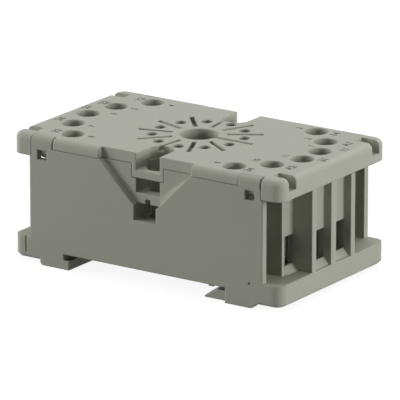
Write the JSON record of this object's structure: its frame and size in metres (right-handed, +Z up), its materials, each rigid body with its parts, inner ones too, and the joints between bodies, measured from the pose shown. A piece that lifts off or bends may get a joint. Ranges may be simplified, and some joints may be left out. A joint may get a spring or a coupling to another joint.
{
  "type": "relay socket",
  "caption": "DIN-rail socket for a round-pin plug-in relay: clip-on cover over a moulded base, box-clamp screw terminals at both ends and a sprung rail latch.",
  "frame": {"origin": "centre of the bounding box's bottom face, under the middle of the socket", "axes": "+X along the length towards the rail latch, +Z up out of the cover"},
  "size_m": [0.065, 0.0386, 0.0271],
  "materials": {
    "housing_plastic": "fine-matt moulded grey thermoplastic",
    "cover_plastic": "fine-matt moulded grey thermoplastic with printed terminal numbers",
    "latch_plastic": "satin moulded grey thermoplastic",
    "contact_metal": "tinned brass strip",
    "clamp_steel": "zinc-plated bent sheet",
    "screw_steel": "zinc-plated turned steel"
  },
  "bodies": {
    "base": {"housing": "housing_plastic", "top_cover": "cover_plastic", "contact_01": "contact_metal", "contact_02": "contact_metal", "contact_03": "contact_metal", "contact_04": "contact_metal", "contact_05": "contact_metal", "contact_06": "contact_metal", "contact_07": "contact_metal", "contact_08": "contact_metal", "contact_09": "contact_metal", "contact_10": "contact_metal", "contact_11": "contact_metal"},
    "latch": {"rail_latch": "latch_plastic"},
    "screw_01": {"terminal_screw_01": "screw_steel"},
    "lift_01": {"clamp_01": "clamp_steel"},
    "screw_02": {"terminal_screw_02": "screw_steel"},
    "lift_02": {"clamp_02": "clamp_steel"},
    "screw_03": {"terminal_screw_03": "screw_steel"},
    "lift_03": {"clamp_03": "clamp_steel"},
    "screw_04": {"terminal_screw_04": "screw_steel"},
    "lift_04": {"clamp_04": "clamp_steel"},
    "screw_05": {"terminal_screw_05": "screw_steel"},
    "lift_05": {"clamp_05": "clamp_steel"},
    "screw_06": {"terminal_screw_06": "screw_steel"},
    "lift_06": {"clamp_06": "clamp_steel"},
    "screw_07": {"terminal_screw_07": "screw_steel"},
    "lift_07": {"clamp_07": "clamp_steel"},
    "screw_08": {"terminal_screw_08": "screw_steel"},
    "lift_08": {"clamp_08": "clamp_steel"},
    "screw_09": {"terminal_screw_09": "screw_steel"},
    "lift_09": {"clamp_09": "clamp_steel"},
    "screw_10": {"terminal_screw_10": "screw_steel"},
    "lift_10": {"clamp_10": "clamp_steel"},
    "screw_11": {"terminal_screw_11": "screw_steel"},
    "lift_11": {"clamp_11": "clamp_steel"}
  },
  "joints": [
    {"name": "rail_latch_slide", "type": "slide", "parent": "base", "child": "latch", "axis": [1, 0, 0], "range_m": [0, 0.0028], "stiffness_N_per_m": 250, "springref_m": -0.004},
    {"name": "screw_01_turn", "type": "hinge", "parent": "base", "child": "screw_01", "pos_m": [0.0269, 0.0032, 0.02], "axis": [0, 0, -1], "range_deg": [0, 2160]},
    {"name": "clamp_01_rise", "type": "slide", "parent": "base", "child": "lift_01", "axis": [0, 0, 1], "range_m": [0, 0.003]},
    {"name": "screw_02_turn", "type": "hinge", "parent": "base", "child": "screw_02", "pos_m": [0.02405, 0.00975, 0.02], "axis": [0, 0, -1], "range_deg": [0, 2160]},
    {"name": "clamp_02_rise", "type": "slide", "parent": "base", "child": "lift_02", "axis": [0, 0, 1], "range_m": [0, 0.003]},
    {"name": "screw_03_turn", "type": "hinge", "parent": "base", "child": "screw_03", "pos_m": [0.0185, 0.0149, 0.02], "axis": [0, 0, -1], "range_deg": [0, 2160]},
    {"name": "clamp_03_rise", "type": "slide", "parent": "base", "child": "lift_03", "axis": [0, 0, 1], "range_m": [0, 0.003]},
    {"name": "screw_04_turn", "type": "hinge", "parent": "base", "child": "screw_04", "pos_m": [-0.0212, 0.0141, 0.02], "axis": [0, 0, -1], "range_deg": [0, 2160]},
    {"name": "clamp_04_rise", "type": "slide", "parent": "base", "child": "lift_04", "axis": [0, 0, 1], "range_m": [0, 0.003]},
    {"name": "screw_05_turn", "type": "hinge", "parent": "base", "child": "screw_05", "pos_m": [-0.02575, 0.0076, 0.02], "axis": [0, 0, -1], "range_deg": [0, 2160]},
    {"name": "clamp_05_rise", "type": "slide", "parent": "base", "child": "lift_05", "axis": [0, 0, 1], "range_m": [0, 0.003]},
    {"name": "screw_06_turn", "type": "hinge", "parent": "base", "child": "screw_06", "pos_m": [-0.0274, 0, 0.02], "axis": [0, 0, -1], "range_deg": [0, 2160]},
    {"name": "clamp_06_rise", "type": "slide", "parent": "base", "child": "lift_06", "axis": [0, 0, 1], "range_m": [0, 0.003]},
    {"name": "screw_07_turn", "type": "hinge", "parent": "base", "child": "screw_07", "pos_m": [0.0269, -0.0032, 0.02], "axis": [0, 0, -1], "range_deg": [0, 2160]},
    {"name": "clamp_07_rise", "type": "slide", "parent": "base", "child": "lift_07", "axis": [0, 0, 1], "range_m": [0, 0.003]},
    {"name": "screw_08_turn", "type": "hinge", "parent": "base", "child": "screw_08", "pos_m": [0.02405, -0.00975, 0.02], "axis": [0, 0, -1], "range_deg": [0, 2160]},
    {"name": "clamp_08_rise", "type": "slide", "parent": "base", "child": "lift_08", "axis": [0, 0, 1], "range_m": [0, 0.003]},
    {"name": "screw_09_turn", "type": "hinge", "parent": "base", "child": "screw_09", "pos_m": [0.0185, -0.0149, 0.02], "axis": [0, 0, -1], "range_deg": [0, 2160]},
    {"name": "clamp_09_rise", "type": "slide", "parent": "base", "child": "lift_09", "axis": [0, 0, 1], "range_m": [0, 0.003]},
    {"name": "screw_10_turn", "type": "hinge", "parent": "base", "child": "screw_10", "pos_m": [-0.0212, -0.0141, 0.02], "axis": [0, 0, -1], "range_deg": [0, 2160]},
    {"name": "clamp_10_rise", "type": "slide", "parent": "base", "child": "lift_10", "axis": [0, 0, 1], "range_m": [0, 0.003]},
    {"name": "screw_11_turn", "type": "hinge", "parent": "base", "child": "screw_11", "pos_m": [-0.02575, -0.0076, 0.02], "axis": [0, 0, -1], "range_deg": [0, 2160]},
    {"name": "clamp_11_rise", "type": "slide", "parent": "base", "child": "lift_11", "axis": [0, 0, 1], "range_m": [0, 0.003]}
  ],
  "couplings": [
    {"joint": "screw_01_turn", "follows": "clamp_01_rise", "rad_per_m": 12566},
    {"joint": "screw_02_turn", "follows": "clamp_02_rise", "rad_per_m": 12566},
    {"joint": "screw_03_turn", "follows": "clamp_03_rise", "rad_per_m": 12566},
    {"joint": "screw_04_turn", "follows": "clamp_04_rise", "rad_per_m": 12566},
    {"joint": "screw_05_turn", "follows": "clamp_05_rise", "rad_per_m": 12566},
    {"joint": "screw_06_turn", "follows": "clamp_06_rise", "rad_per_m": 12566},
    {"joint": "screw_07_turn", "follows": "clamp_07_rise", "rad_per_m": 12566},
    {"joint": "screw_08_turn", "follows": "clamp_08_rise", "rad_per_m": 12566},
    {"joint": "screw_09_turn", "follows": "clamp_09_rise", "rad_per_m": 12566},
    {"joint": "screw_10_turn", "follows": "clamp_10_rise", "rad_per_m": 12566},
    {"joint": "screw_11_turn", "follows": "clamp_11_rise", "rad_per_m": 12566}
  ]
}
